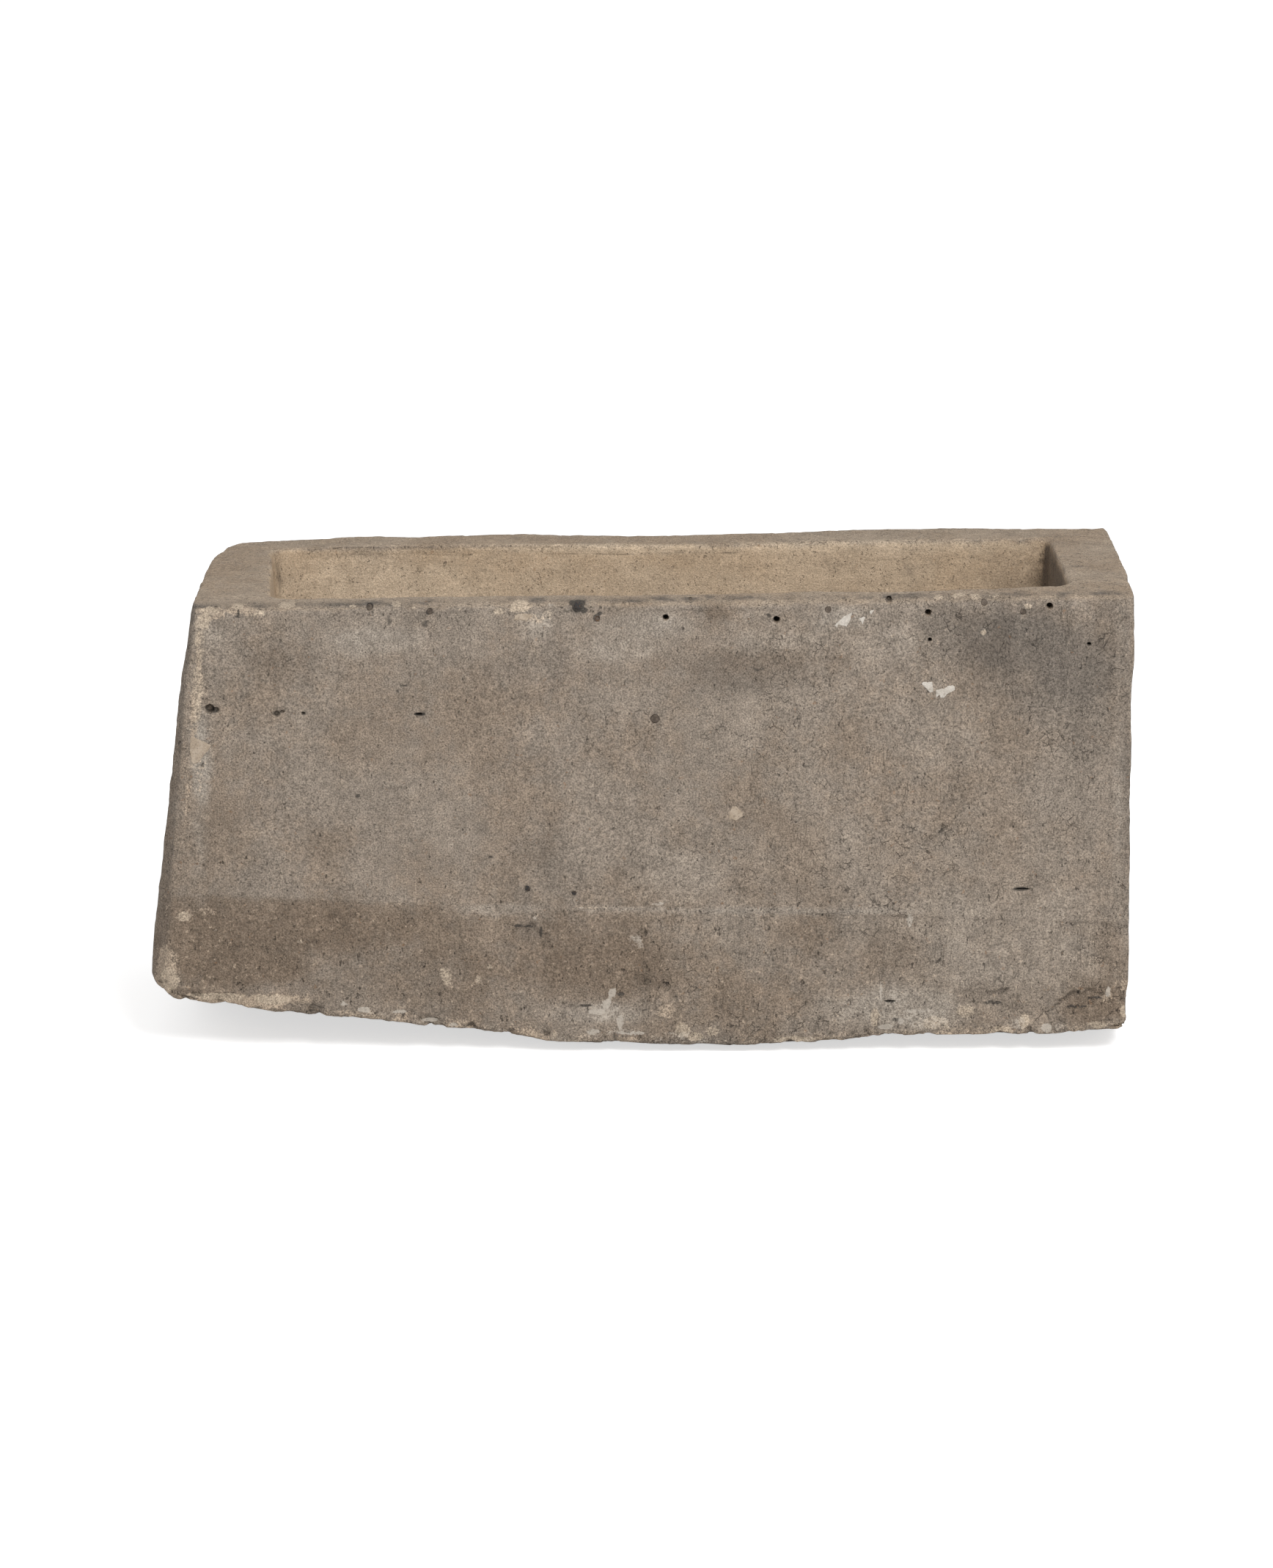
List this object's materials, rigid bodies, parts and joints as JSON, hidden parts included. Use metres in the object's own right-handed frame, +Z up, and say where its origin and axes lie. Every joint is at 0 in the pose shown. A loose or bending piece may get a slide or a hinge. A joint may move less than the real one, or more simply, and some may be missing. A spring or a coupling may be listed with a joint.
{
  "type": "trough sink",
  "caption": "Long rectangular stone trough sink hewn from one block, with a leaning end, worn rim, old fixing holes and a plugged brass waste in its floor.",
  "frame": {"origin": "middle of the block's bounding box at floor level", "axes": "+X along the trough to its upright end, +Y from the front face to the back, +Z up"},
  "size_m": [1.122, 0.45, 0.5377],
  "materials": {
    "stone": "weathered, sandy",
    "plug_filler": "crumbling mortar",
    "rusted_iron": "rusted black",
    "lime": "matt lime",
    "mortar": "sandy buff mortar",
    "brass": "dulled brass",
    "rubber": "matt rubber",
    "washer_plastic": "matt"
  },
  "bodies": {
    "sink": {"trough_block": "stone", "hole_plugs": "plug_filler", "iron_stubs": "rusted_iron", "lime_flakes": "lime", "mortar_patches": "mortar", "waste_body": "brass", "flange_seal": "rubber", "under_washer": "rubber", "slip_washer": "washer_plastic", "backnut": "brass"},
    "plug": {"waste_plug": "rubber", "plug_eye": "brass"},
    "ring": {"plug_ring": "brass"}
  },
  "joints": [
    {"name": "plug_lift", "type": "slide", "parent": "sink", "child": "plug", "axis": [0, 0, 1], "range_m": [0, 0.42]},
    {"name": "ring_flip", "type": "hinge", "parent": "plug", "child": "ring", "pos_m": [0.3, -0.02, 0.15553], "axis": [0, -1, 0], "range_deg": [0, 168]}
  ]
}
